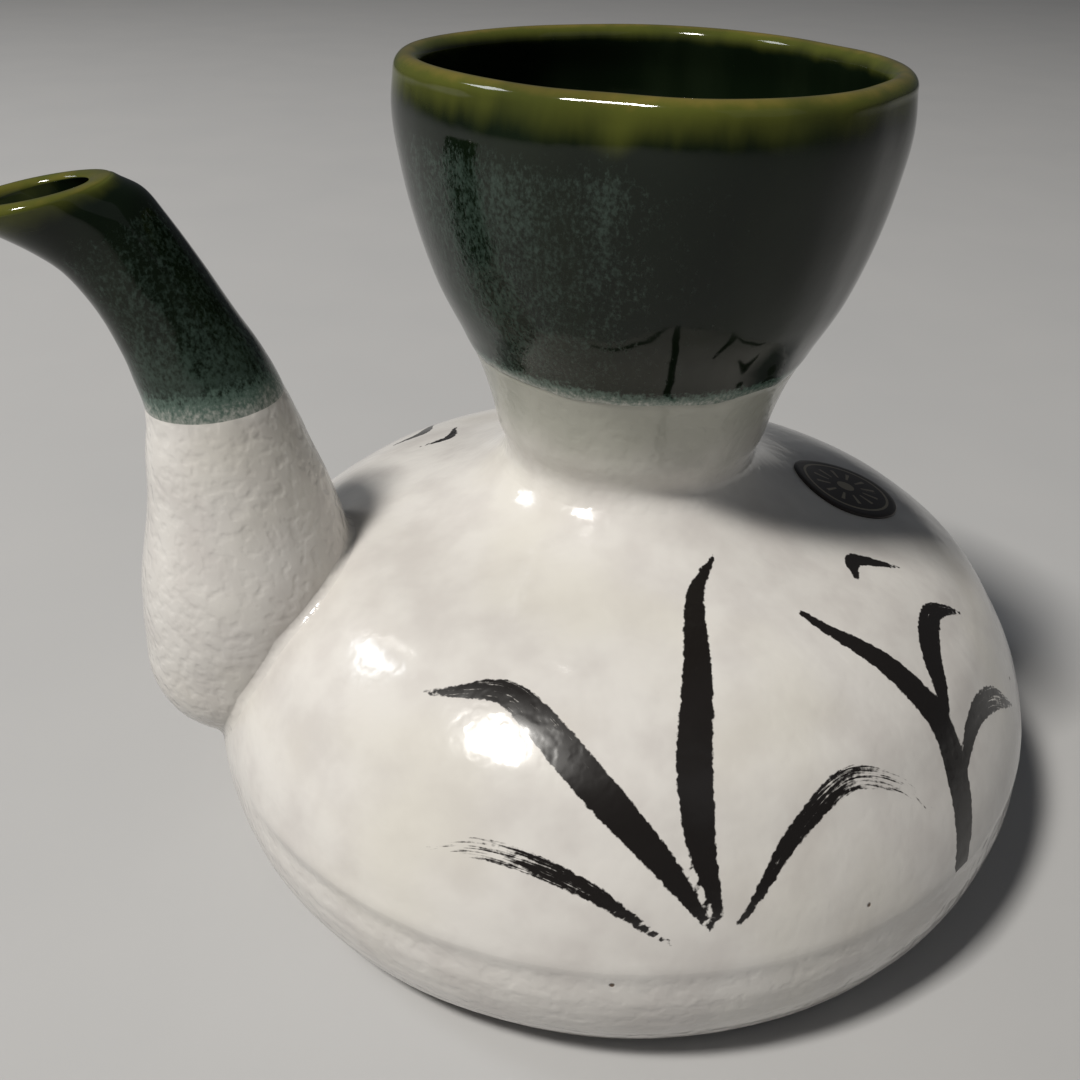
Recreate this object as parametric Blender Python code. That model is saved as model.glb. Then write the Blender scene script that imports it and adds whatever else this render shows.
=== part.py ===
"""Sake bottle: a squat, egg-shaped pot with a swan-neck spout and a wide cup for a mouth.

Metres, +Z up. The origin is the middle of the flat underside, and the spout points along -X.
A potter makes such a bottle from four clay sections: a shallow base dish, a dome, a cup on a
waisted neck, and a spout. Soft clay slip joins them, green glaze coats the cup and the spout's
tip, and a round paper label is stuck on the shoulder. The sizes below are in millimetres.
"""
import math

import bmesh
import bpy
from mathutils import Vector

MM = 0.001
GAP = 0.3                     # clearance left between pieces that touch
WALL = 4.2                    # thickness of the thrown clay, and of the cup's round lip
SPOUT_WALL = 3.2              # thickness of the spout
SEGMENTS = 40                 # facets round the body and the cup
SPOUT_SEGMENTS = 24           # facets round the spout

# Outline of the pot, as (height, mean radius) points. The foot turns up in a quarter ellipse,
# the shoulder follows a larger one, and points by hand shape the dome's top, waist and cup.
FOOT_RADIUS = 62.5            # of the flat underside
BELLY_RADIUS = 75.0
BELLY_HEIGHT = 19.0
SHOULDER_RISE = 47.5          # half height of the ellipse that the shoulder follows
RIM_HEIGHT = 130.0
LIP_START = RIM_HEIGHT - WALL / 2                         # where the round lip begins
FOOT_STOPS = (0.0, 1.0, 4.0, 8.0, 13.0)
SHOULDER_STOPS = (BELLY_HEIGHT, 28.5, 38.0)
NECK_AND_CUP = [
    (47.5, 61.0), (54.0, 50.0), (58.5, 35.5), (62.0, 27.5), (66.5, 22.0), (73.5, 23.0),
    (82.5, 25.5), (98.0, 33.0), (114.0, 37.5), (123.5, 38.5), (LIP_START, 38.0),
]
OUTLINE = [(z, FOOT_RADIUS + (BELLY_RADIUS - FOOT_RADIUS) * math.sqrt(1 - (1 - z / BELLY_HEIGHT) ** 2))
           for z in FOOT_STOPS]
OUTLINE += [(z, BELLY_RADIUS * math.sqrt(1 - ((z - BELLY_HEIGHT) / SHOULDER_RISE) ** 2))
            for z in SHOULDER_STOPS]
OUTLINE += NECK_AND_CUP

# The pot isn't round. Each bulge is (lobes, height relative to the radius, direction in degrees),
# and the cup's bulges grow from nothing at the neck to their full height at the rim.
BODY_BULGES = [(2, 0.012, 65), (3, 0.006, 15)]
BODY_ROUND_FROM, BODY_ROUND_AT = 50.0, 64.0               # heights where they fade out
CUP_BULGES = [(1, 0.008, 170), (2, 0.05, -72), (3, 0.015, 55), (4, 0.015, -15)]
CREASES = [(-114, 1.3), (-50, 0.6), (15, 0.6), (93, 0.6), (165, 0.3)]       # direction, depth
CREASE_WIDTH = 11.0                                       # degrees
CREASE_FROM, CREASE_FULL = 84.0, 110.0                    # heights where a crease starts, is full

# Joints between the clay sections, and the layers on them.
BASE_JOINT = 23.0             # height of the joint low on the body
NECK_JOINT = 65.0             # height of the joint just under the waist
SLIP = 1.0                    # thickness of a slip joint
SLIP_BULGE = 0.35             # how far the base's slip stands out as a soft ridge
BULGE_STOPS = 25.0            # degrees either side of the spout where it is smoothed flush
FLOOR_CORNER = [(64.5, 7.5), (58.5, 5.0)]                 # (radius, height) inside the foot
GLAZE = 0.5                   # thickness of the green glaze
CUP_GLAZE_LINE = 86.0         # lower edge of the green glaze outside the cup
CUP_GLAZE_INSIDE = 76.0       # and inside it

# Heights where the mesh has a loop of vertices.
DOME_STOPS = (28.5, 33.0, 38.0, 43.0, 47.5, 51.0, 54.0, 56.3, 58.5, 60.3, 62.0)
NECK_STOPS = (68.5, 72.0, 76.0, 81.0)
COVERED_STOPS = (91.0, 96.0, 102.0, 109.0, 116.0, 122.5)    # under the cup's glaze
COVERED_INSIDE = (85.0, 80.0)                             # and below those inside the cup
LIP_LOOPS = 3

FLOW_HOLE_RADIUS = 7.0        # the hole through the dome that feeds the spout
FLOW_HOLE_HEIGHT = 39.0
FLOW_HOLE_CUT = 40.0          # length of the cutter that makes it
FLOW_HOLE_FACETS = 20

# Spout: distance from the pot's axis, height, half-width along X, half-width along Y, tilt of
# the section's plane in degrees. The first section is the top of the rounded bulb.
SPOUT = [
    (68.0, 34.0, 17.0, 17.5, 0), (67.0, 43.0, 17.5, 18.5, 0), (66.0, 51.5, 17.5, 18.0, 0),
    (66.0, 63.0, 15.0, 15.0, 0), (67.0, 72.0, 13.0, 13.0, 0), (68.0, 80.0, 11.0, 11.0, 3),
    (70.0, 86.5, 10.0, 10.0, 8), (72.5, 92.5, 9.0, 9.0, 14), (75.5, 99.0, 8.5, 8.5, 20),
    (79.0, 105.0, 8.5, 8.0, 27), (82.0, 108.5, 9.0, 8.0, 28), (86.0, 111.0, 9.5, 8.5, 22),
    (89.0, 112.5, 11.0, 9.0, 13),
]
SPOUT_BULB_DROP = 15.5        # from the first section down to the bulb's lowest point
ROOT_CLEARANCE = 0.6          # between the spout's curved root and the dome, filled by the slip
SPOUT_LIP = 1.5               # height of the rounded lip above the last section
SPOUT_GLAZE_AT = 5.1          # section number where the green glaze starts
SPOUT_GLAZE_INSIDE = 8.0      # and where it ends inside the spout
SPOUT_EDGE = 0.05             # gap at both of those edges, in sections
ROOT_RUN = 3.4                # section where the loops no longer follow the root
ROOT_STEPS = 9                # loops from the root to there
ABOVE_ROOT = 4.2              # the one loop between there and the glaze

BEAD_RADIUS = 0.65            # the slip bead round the spout's root
BEAD_STAND_OFF = 1.05         # from the surfaces of the spout and the dome to its middle
BEAD_POINTS = 48
BEAD_FACETS = 8

LABEL_DIRECTION = -6.0        # degrees
LABEL_HEIGHT = 57.0
LABEL_RADIUS = 10.0
LABEL_THICKNESS = 0.3
LABEL_LIFT = 0.35             # of its underside over the glaze
LABEL_RINGS = (0.08, 0.3, 0.55, 0.8, 1.0)                 # share of its radius
LABEL_POINTS = 32

WHITE = (0.72, 0.71, 0.66)
GREEN = (0.012, 0.035, 0.014)
DARK_PAPER = (0.03, 0.022, 0.016)


def hermite(knots, x):
    """Value at x of a smooth curve through (x, y) knots, which holds its end values beyond them."""
    def secant(i):
        return (knots[i + 1][1] - knots[i][1]) / (knots[i + 1][0] - knots[i][0])

    def tangent(i):
        if i == 0:
            return secant(0)
        if i == len(knots) - 1:
            return secant(i - 1)
        before = knots[i][0] - knots[i - 1][0]
        after = knots[i + 1][0] - knots[i][0]
        return (after * secant(i - 1) + before * secant(i)) / (before + after)

    i = 0
    while i < len(knots) - 2 and x > knots[i + 1][0]:
        i += 1
    (x0, y0), (x1, y1) = knots[i], knots[i + 1]
    h = x1 - x0
    t = min(max((x - x0) / h, 0.0), 1.0)
    return ((1 + 2 * t) * (1 - t) ** 2 * y0 + t * (1 - t) ** 2 * h * tangent(i)
            + t * t * (3 - 2 * t) * y1 + t * t * (t - 1) * h * tangent(i + 1))


def smoothstep(low, high, x):
    t = min(max((x - low) / (high - low), 0.0), 1.0)
    return t * t * (3 - 2 * t)


def degrees_apart(a, b):
    return (a - b + 180) % 360 - 180


def bulges(lobes, degrees):
    return sum(size * math.cos(math.radians(count * (degrees - direction)))
               for count, size, direction in lobes)


def plan_factor(angle, z):
    """How far the wall at this direction (radians) and height stands out from its circle."""
    degrees = math.degrees(angle)
    body = 1 - smoothstep(BODY_ROUND_FROM, BODY_ROUND_AT, z)
    cup = min(max((z - NECK_JOINT) / (RIM_HEIGHT - NECK_JOINT), 0.0), 1.0)
    factor = 1 + body * bulges(BODY_BULGES, degrees) + cup * bulges(CUP_BULGES, degrees)
    strength = smoothstep(CREASE_FROM, CREASE_FULL, z)
    radius = hermite(OUTLINE, z)
    for direction, depth in CREASES:
        off = degrees_apart(degrees, direction) / CREASE_WIDTH
        factor -= strength * depth / radius * math.exp(-off * off)
    return factor


def outer_radius(angle, z):
    return hermite(OUTLINE, z) * plan_factor(angle, z)


def slope(z):
    """How fast the outline widens with height."""
    step = 0.05
    return (hermite(OUTLINE, z + step) - hermite(OUTLINE, z - step)) / (2 * step)


def outside(point):
    """How far a point is outside the pot's outer surface, square to the surface."""
    radial = math.hypot(point.x, point.y) - outer_radius(math.atan2(point.y, point.x), point.z)
    return radial / math.hypot(1, slope(point.z))


def under(z, depth):
    """(radius, height, reference height) of the point this deep under the outline at z."""
    steep = slope(z)
    length = math.hypot(1, steep)
    return (hermite(OUTLINE, z) - depth / length, z + depth * steep / length, z)


def ring(radius, z, reference=None):
    """A loop round the pot at height z, with the plan shape of the reference height."""
    reference = z if reference is None else reference
    loop = []
    for i in range(SEGMENTS):
        angle = 2 * math.pi * i / SEGMENTS
        r = radius * plan_factor(angle, reference)
        loop.append(Vector((r * math.cos(angle), r * math.sin(angle), z)))
    return loop


def material(name, colour, roughness):
    made = bpy.data.materials.new(name)
    made.use_nodes = True
    shader = made.node_tree.nodes["Principled BSDF"]
    shader.inputs["Base Color"].default_value = (*colour, 1)
    shader.inputs["Roughness"].default_value = roughness
    shader.inputs["Metallic"].default_value = 0.0
    return made


def body_from_loops(name, loops, finish, closed=True):
    """One closed body skinned over loops of points.

    closed joins the last loop to the first, as round a tube wall. Otherwise both ends are
    covered with a flat face.
    """
    mesh = bpy.data.meshes.new(name)
    build = bmesh.new()
    rows = [[build.verts.new(point * MM) for point in loop] for loop in loops]
    count = len(rows[0])
    pairs = list(zip(rows, rows[1:])) + ([(rows[-1], rows[0])] if closed else [])
    for lower, upper in pairs:
        for i in range(count):
            j = (i + 1) % count
            build.faces.new((lower[i], lower[j], upper[j], upper[i]))
    if not closed:
        build.faces.new(reversed(rows[0]))
        build.faces.new(rows[-1])
    bmesh.ops.recalc_face_normals(build, faces=build.faces)
    if build.calc_volume(signed=True) < 0:
        bmesh.ops.reverse_faces(build, faces=build.faces)
    build.to_mesh(mesh)
    build.free()
    mesh.shade_smooth()
    mesh.set_sharp_from_angle(angle=math.radians(40))
    made = bpy.data.objects.new(name, mesh)
    made.data.materials.append(finish)
    bpy.context.scene.collection.objects.link(made)
    return made


def base_dish(finish):
    """The flat floor and the turned-under wall, up to the joint low on the body."""
    top = BASE_JOINT - SLIP / 2 - GAP
    stops = [z for z, _ in OUTLINE if z < top]
    inside = [z for z in stops if z > FLOOR_CORNER[0][1] + WALL]
    loops = [ring(hermite(OUTLINE, z), z) for z in stops + [top]]
    loops += [ring(under(top, WALL)[0], top, top)]
    loops += [ring(*under(z, WALL)) for z in reversed(inside)]
    loops += [ring(radius, z) for radius, z in FLOOR_CORNER]
    return body_from_loops("base_dish", loops, finish, closed=False)


def dome(finish):
    """The upper body, from the joint low on the body to the neck, with the spout's flow hole."""
    bottom = BASE_JOINT + SLIP / 2 + GAP
    top = NECK_JOINT - SLIP / 2 - GAP
    stops = [bottom, *DOME_STOPS, top]
    loops = [ring(hermite(OUTLINE, z), z) for z in stops]
    loops += [ring(*under(z, WALL)) for z in reversed(stops[1:])]
    loops += [ring(under(bottom, WALL)[0], bottom, bottom)]
    made = body_from_loops("dome", loops, finish)
    bpy.ops.mesh.primitive_cylinder_add(
        vertices=FLOW_HOLE_FACETS, radius=FLOW_HOLE_RADIUS * MM, depth=FLOW_HOLE_CUT * MM,
        location=(-hermite(OUTLINE, FLOW_HOLE_HEIGHT) * MM, 0, FLOW_HOLE_HEIGHT * MM),
        rotation=(0, math.radians(90), 0))
    cutter = bpy.context.object
    cutter.name = "flow_hole_cutter"
    cutter.hide_render = True
    cutter.display_type = "WIRE"
    cut = made.modifiers.new("flow_hole", "BOOLEAN")
    cut.operation = "DIFFERENCE"
    cut.object = cutter
    return made


def lip_loops(depth):
    """Half round over the cup's rim, from outside to inside, at a depth under its surface."""
    radius = WALL / 2 - depth
    middle = OUTLINE[-1][1] - WALL / 2
    loops = []
    for i in range(LIP_LOOPS):
        turn = math.pi * (i + 1) / (LIP_LOOPS + 1)
        r, z = middle + radius * math.cos(turn), LIP_START + radius * math.sin(turn)
        loops.append(ring(r, z, LIP_START))
    return loops


def cup(finish):
    """The waisted neck and the cup, in one piece of clay, set back where the glaze covers it."""
    bottom = NECK_JOINT + SLIP / 2 + GAP
    cover = GLAZE + GAP
    inner = WALL - cover
    shoulder = CUP_GLAZE_LINE - GAP
    inside_stop = CUP_GLAZE_INSIDE - GAP
    loops = [ring(hermite(OUTLINE, z), z) for z in (bottom, *NECK_STOPS, shoulder)]
    covered = [shoulder, *COVERED_STOPS, LIP_START]
    loops += [ring(*under(z, cover)) for z in covered]
    loops += lip_loops(cover)
    inside = [*covered[:0:-1], *COVERED_INSIDE, inside_stop]
    loops += [ring(*under(z, inner)) for z in inside]
    below = [z for z in reversed(NECK_STOPS) if z < inside_stop]
    loops += [ring(*under(z, WALL)) for z in (inside_stop, *below, bottom)]
    return body_from_loops("cup", loops, finish)


def cup_glaze(finish):
    """The coat of green glaze over the cup's outside, lip and inside."""
    outside_stops = [CUP_GLAZE_LINE, *COVERED_STOPS, LIP_START]
    inside_stops = [*outside_stops[:0:-1], *COVERED_INSIDE, CUP_GLAZE_INSIDE]
    loops = [ring(*under(z, 0)) for z in outside_stops]
    loops += lip_loops(0)
    loops += [ring(*under(z, WALL)) for z in inside_stops]
    loops += [ring(*under(z, WALL - GLAZE)) for z in reversed(inside_stops)]
    loops += reversed(lip_loops(GLAZE))
    loops += [ring(*under(z, GLAZE)) for z in reversed(outside_stops)]
    return body_from_loops("cup_glaze", loops, finish)


def base_slip(finish):
    """The slip in the base joint, which stands out as a soft ridge except under the spout."""
    low, high = BASE_JOINT - SLIP / 2, BASE_JOINT + SLIP / 2
    radius = hermite(OUTLINE, BASE_JOINT)
    flush, proud = ring(radius, BASE_JOINT), ring(radius + SLIP_BULGE, BASE_JOINT)
    middle = []
    for i in range(SEGMENTS):
        from_spout = abs(degrees_apart(360 * i / SEGMENTS, 180))
        middle.append(flush[i] if from_spout < BULGE_STOPS else proud[i])
    outer = [ring(hermite(OUTLINE, z), z) for z in (low, high)]
    inner = [ring(under(z, WALL)[0], z, z) for z in (high, low)]
    return body_from_loops("base_slip", [outer[0], middle, outer[1], *inner], finish)


def neck_slip(finish):
    """The slip in the joint under the waist, where the cup stands on the dome."""
    low, high = NECK_JOINT - SLIP / 2, NECK_JOINT + SLIP / 2
    outer = [ring(hermite(OUTLINE, z), z) for z in (low, high)]
    inner = [ring(*under(z, WALL)) for z in (high, low)]
    return body_from_loops("neck_slip", outer + inner, finish)


def spout_point(section, angle, depth=0.0):
    """A point on the spout, at a depth under its surface.

    section counts along SPOUT from 0 to its last, and from 0 down to -1 at the bulb's lowest
    point. The angle is 0 on the outer side, away from the pot.
    """
    along = max(section, 0.0)
    values = [hermite([(i, row[k]) for i, row in enumerate(SPOUT)], along) for k in range(5)]
    reach, z, wide, deep, tilt = values
    tilt = math.radians(tilt)
    wide, deep = wide - depth, deep - depth
    if section < 0:
        sweep = -section * math.pi / 2
        z -= (SPOUT_BULB_DROP - depth) * math.sin(sweep)
        wide *= math.cos(sweep)
        deep *= math.cos(sweep)
    reach += wide * math.cos(angle) * math.cos(tilt)
    z -= wide * math.cos(angle) * math.sin(tilt)
    return Vector((-reach, deep * math.sin(angle), z))


def spout_root(angle, depth, clearance):
    """The section where the spout's surface comes out of the pot, on this side of the spout."""
    low, high = -1.0, 4.0
    for _ in range(40):
        middle = (low + high) / 2
        if outside(spout_point(middle, angle, depth)) < clearance:
            low = middle
        else:
            high = middle
    return high


def spout_angles():
    return [2 * math.pi * i / SPOUT_SEGMENTS for i in range(SPOUT_SEGMENTS)]


def spout_loop(section, depth):
    return [spout_point(section, angle, depth) for angle in spout_angles()]


def spout_run(depth, sections):
    """Loops along the spout. The first of them are spread from its root seam to ROOT_RUN."""
    roots = [spout_root(angle, depth, ROOT_CLEARANCE) for angle in spout_angles()]
    loops = []
    for step in range(ROOT_STEPS):
        share = step / ROOT_STEPS
        loops.append([spout_point(root + (ROOT_RUN - root) * share, angle, depth)
                      for root, angle in zip(roots, spout_angles())])
    return loops + [spout_loop(section, depth) for section in sections]


def spout_lip(depth, outer, inner):
    """Loops over the spout's rounded lip, from depth outer to depth inner."""
    last = len(SPOUT) - 1
    tilt = math.radians(SPOUT[-1][4])
    up = Vector((-math.sin(tilt), 0, math.cos(tilt))) * (SPOUT_LIP - depth)
    middle, half = (outer + inner) / 2, (inner - outer) / 2
    loops = []
    for turn in (45, 90, 135):
        turn = math.radians(turn)
        loop = spout_loop(last, middle - half * math.cos(turn))
        loops.append([point + up * math.sin(turn) for point in loop])
    return loops


def spout(finish):
    """The hollow clay spout: its open root lies on the dome round the flow hole."""
    last = len(SPOUT) - 1
    cover = GLAZE + GAP
    edge = SPOUT_GLAZE_AT - SPOUT_EDGE
    inside_edge = SPOUT_GLAZE_INSIDE - SPOUT_EDGE
    covered = [edge, *range(6, last + 1)]
    loops = spout_run(0.0, (ROOT_RUN, ABOVE_ROOT, edge))
    loops += [spout_loop(section, cover) for section in covered]
    loops += spout_lip(cover, cover, SPOUT_WALL - cover)
    loops += [spout_loop(section, SPOUT_WALL - cover) for section in (*range(last, 8, -1), inside_edge)]
    inner = spout_run(SPOUT_WALL, (ROOT_RUN, ABOVE_ROOT, SPOUT_GLAZE_AT, 6, 7, inside_edge))
    loops += reversed(inner)
    return body_from_loops("spout", loops, finish)


def spout_glaze(finish):
    """The coat of green glaze over the spout's tip, lip and the first part of its bore."""
    last = len(SPOUT) - 1
    outer = [SPOUT_GLAZE_AT, *range(6, last + 1)]
    inner = [*range(last, 8, -1), SPOUT_GLAZE_INSIDE]
    loops = [spout_loop(section, 0.0) for section in outer]
    loops += spout_lip(0.0, 0.0, SPOUT_WALL)
    loops += [spout_loop(section, SPOUT_WALL) for section in inner]
    loops += [spout_loop(section, SPOUT_WALL - GLAZE) for section in reversed(inner)]
    loops += reversed(spout_lip(GLAZE, GLAZE, SPOUT_WALL - GLAZE))
    loops += [spout_loop(section, GLAZE) for section in reversed(outer)]
    return body_from_loops("spout_glaze", loops, finish)


def spout_slip(finish):
    """The bead of slip in the corner where the spout meets the dome."""
    path = []
    for i in range(BEAD_POINTS):
        angle = 2 * math.pi * i / BEAD_POINTS
        section = spout_root(angle, -BEAD_STAND_OFF, BEAD_STAND_OFF)
        path.append(spout_point(section, angle, -BEAD_STAND_OFF))
    turns = [2 * math.pi * k / BEAD_FACETS for k in range(BEAD_FACETS)]
    loops = []
    for i, centre in enumerate(path):
        along = (path[(i + 1) % BEAD_POINTS] - path[i - 1]).normalized()
        side = along.cross(Vector((-1, 0, 0))).normalized()
        across = along.cross(side)
        loops.append([centre + BEAD_RADIUS * (side * math.cos(turn) + across * math.sin(turn))
                      for turn in turns])
    return body_from_loops("spout_slip", loops, finish)


def label(finish):
    """A thin round paper label that follows the curve of the shoulder."""
    azimuth = math.radians(LABEL_DIRECTION)

    def surface(angle, z):
        r = outer_radius(angle, z)
        return Vector((r * math.cos(angle), r * math.sin(angle), z))

    centre = surface(azimuth, LABEL_HEIGHT)
    down = (surface(azimuth, LABEL_HEIGHT - 1) - surface(azimuth, LABEL_HEIGHT + 1)).normalized()
    side = (surface(azimuth + 0.02, LABEL_HEIGHT) - surface(azimuth - 0.02, LABEL_HEIGHT)).normalized()
    normal = down.cross(side).normalized()
    if normal.z < 0:
        normal = -normal

    def laid(radius, turn, lift):
        flat = centre + radius * (down * math.cos(turn) + side * math.sin(turn))
        low, high = -LABEL_RADIUS, LABEL_RADIUS
        for _ in range(40):
            middle = (low + high) / 2
            if outside(flat + normal * middle) < 0:
                low = middle
            else:
                high = middle
        return flat + normal * (high + lift)

    turns = [2 * math.pi * i / LABEL_POINTS for i in range(LABEL_POINTS)]
    radii = [LABEL_RADIUS * share for share in LABEL_RINGS]
    loops = [[laid(radius, turn, LABEL_LIFT) for turn in turns] for radius in radii]
    loops += [[laid(radius, turn, LABEL_LIFT + LABEL_THICKNESS) for turn in turns]
              for radius in reversed(radii)]
    return body_from_loops("label", loops, finish, closed=False)


def main():
    for old in list(bpy.data.objects):
        bpy.data.objects.remove(old, do_unlink=True)
    base_dish(material("base_white_glaze", WHITE, 0.3))
    dome(material("dome_white_glaze", WHITE, 0.2))
    cup(material("cup_white_glaze", WHITE, 0.22))
    spout(material("spout_white_glaze", WHITE, 0.25))
    cup_glaze(material("cup_green_glaze", GREEN, 0.1))
    spout_glaze(material("spout_green_glaze", GREEN, 0.12))
    base_slip(material("base_slip_glaze", WHITE, 0.3))
    neck_slip(material("neck_slip_glaze", WHITE, 0.22))
    spout_slip(material("spout_slip_glaze", WHITE, 0.25))
    label(material("label_paper", DARK_PAPER, 0.35))


main()
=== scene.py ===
"""Looks of the sake bottle: fine meshes of its clay sections, glazes, brush marks and label.

Every shape is worked out in millimetres in the row frame, with the spout along -X, and turned
into metres when its mesh is made.
"""

import math

import bpy
import numpy as np
from mathutils import Matrix, Vector, noise


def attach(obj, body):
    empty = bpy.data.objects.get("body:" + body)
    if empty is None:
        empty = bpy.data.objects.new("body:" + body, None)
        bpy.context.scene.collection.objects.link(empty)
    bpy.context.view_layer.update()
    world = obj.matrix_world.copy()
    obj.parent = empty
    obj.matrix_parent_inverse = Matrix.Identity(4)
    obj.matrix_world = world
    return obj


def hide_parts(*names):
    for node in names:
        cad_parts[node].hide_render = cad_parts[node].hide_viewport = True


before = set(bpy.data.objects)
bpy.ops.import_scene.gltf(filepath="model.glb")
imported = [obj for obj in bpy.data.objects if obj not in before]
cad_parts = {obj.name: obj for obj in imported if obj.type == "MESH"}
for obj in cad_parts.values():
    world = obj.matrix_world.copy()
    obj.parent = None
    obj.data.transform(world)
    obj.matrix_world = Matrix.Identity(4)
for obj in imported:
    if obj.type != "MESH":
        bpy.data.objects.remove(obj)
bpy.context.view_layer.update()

MM = 0.001
COLUMNS = 420                 # round the pot
SPOUT_COLUMNS = 168           # round the spout
ROW = 0.9                     # distance between rows of a fine surface
COARSE_ROW = 3.0              # and of a hidden one
SLIP_ROW = 0.5                # and of a slip joint
SEAM_STEP = 0.4               # how far past a seam its surface is worked out, for its normals
HALVINGS = 40                 # steps of each search for a place on the pot's surface

# The pot's outline as (height, mean radius): one ellipse for the turned-under foot, one for the
# shoulder, then points for the dome's top, the waist and the cup. Its bulges are (lobes, height
# as a share of the radius, direction).
WALL = 4.2
FOOT_RADIUS, BELLY_RADIUS, BELLY_HEIGHT, SHOULDER_RISE = 62.5, 75.0, 19.0, 47.5
RIM_HEIGHT = 130.0
LIP_START = RIM_HEIGHT - WALL / 2
FOOT_STOPS = (0.0, 1.0, 4.0, 8.0, 13.0)
SHOULDER_STOPS = (BELLY_HEIGHT, 28.5, 38.0)
NECK_AND_CUP = [
    (47.5, 61.0), (54.0, 50.0), (58.5, 35.5), (62.0, 27.5), (66.5, 22.0), (73.5, 23.0),
    (82.5, 25.5), (98.0, 33.0), (114.0, 37.5), (123.5, 38.5), (LIP_START, 38.0),
]
OUTLINE = [(z, FOOT_RADIUS + (BELLY_RADIUS - FOOT_RADIUS) * math.sqrt(1 - (1 - z / BELLY_HEIGHT) ** 2))
           for z in FOOT_STOPS]
OUTLINE += [(z, BELLY_RADIUS * math.sqrt(1 - ((z - BELLY_HEIGHT) / SHOULDER_RISE) ** 2))
            for z in SHOULDER_STOPS]
OUTLINE += NECK_AND_CUP
BODY_BULGES = [(2, 0.012, 65), (3, 0.006, 15)]
BODY_ROUND_FROM, BODY_ROUND_AT = 50.0, 64.0
CUP_BULGES = [(1, 0.008, 170), (2, 0.05, -72), (3, 0.015, 55), (4, 0.015, -15)]
CREASES = [(-114, 1.3), (-50, 0.6), (15, 0.6), (93, 0.6), (165, 0.3)]       # direction, depth
CREASE_WIDTH = 11.0
CREASE_FROM, CREASE_FULL = 84.0, 110.0

BASE_JOINT, NECK_JOINT, SLIP = 23.0, 65.0, 1.0
FLOOR = [(64.5, 7.5), (58.5, 5.0), (30.0, 5.0), (0.6, 5.0)]      # (radius, height) in the foot
INNER_WALL_FROM = 13.0        # height where the foot's inner wall starts
UNDERSIDE_RINGS = (0.01, 0.3, 0.6, 0.85, 0.97)            # share of the foot's radius
GLAZE = 0.5
COVER = GLAZE + 0.1           # how far the clay is set back under the green glaze
CUP_GLAZE_LINE, CUP_GLAZE_INSIDE = 86.0, 76.0
CUP_GLAZE_TUCK = 1.4          # how far the glaze's mesh runs on inside the clay below its edge
EDGE_WANDER = 0.6             # how far the green glaze's edge wanders up and down
LIP_ROWS, COVERED_LIP_ROWS = 15, 9                        # over the cup's lip, and in the clay

# Sections of the spout: distance from the pot's axis, height, two half-widths, tilt in degrees.
SPOUT = [
    (68.0, 34.0, 17.0, 17.5, 0), (67.0, 43.0, 17.5, 18.5, 0), (66.0, 51.5, 17.5, 18.0, 0),
    (66.0, 63.0, 15.0, 15.0, 0), (67.0, 72.0, 13.0, 13.0, 0), (68.0, 80.0, 11.0, 11.0, 3),
    (70.0, 86.5, 10.0, 10.0, 8), (72.5, 92.5, 9.0, 9.0, 14), (75.5, 99.0, 8.5, 8.5, 20),
    (79.0, 105.0, 8.5, 8.0, 27), (82.0, 108.5, 9.0, 8.0, 28), (86.0, 111.0, 9.5, 8.5, 22),
    (89.0, 112.5, 11.0, 9.0, 13),
]
SPOUT_WALL = 3.2
SPOUT_BULB_DROP = 15.5
SPOUT_LIP = 1.5
SPOUT_TIP = (92.0, 114.5)     # distance from the pot's axis and height of its mouth's middle
SPOUT_GLAZE_AT, SPOUT_GLAZE_INSIDE = 5.1, 8.0
SPOUT_ROWS = 8                # rows in each section
SPOUT_GLAZE_TUCK = 0.35       # how far the glaze's mesh runs on inside the clay, in sections
SPOUT_LIP_ROWS, SPOUT_COVERED_LIP_ROWS, SPOUT_UNDER_LIP_ROWS = 13, 7, 5
ROOT_RUN = 3.4                # section where the rows no longer follow the root
ROOT_ROWS, INNER_ROOT_ROWS = 46, 12
ROOT_SUNK = 0.4               # how far the spout's root is sunk into the pot
FILLET = 1.6                  # reach of the slip fillet round the spout's root
FILLET_POINTS, FILLET_ROWS = 300, 9
FILLET_SUNK = 0.12            # how far the fillet's two edges lie under the surfaces they meet
FILLET_BURIED = 1.0           # and its hidden back

# Skin of the glaze: slow waves left by the potter's hands, and the orange-peel pebbling.
WAVE, WAVE_SIZE = 0.16, 22.0
PEBBLE, PEBBLE_SIZE = 0.06, 3.4

LABEL_DIRECTION, LABEL_HEIGHT, LABEL_RADIUS, LABEL_THICKNESS = -6.0, 57.0, 10.0, 0.3
LABEL_LIFT, LABEL_SUNK = 0.18, 0.05         # added height of its top, and how far its back is sunk
LABEL_EDGE_FROM, LABEL_EDGE_DROP = 0.98, 0.15             # share of its radius, and how far it drops
LABEL_POINTS = 96
LABEL_RINGS = (0.02, 0.1, 0.2, 0.3, 0.4, 0.5, 0.6, 0.7, 0.8, 0.9, 0.97, 1.0)    # share of its radius

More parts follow.
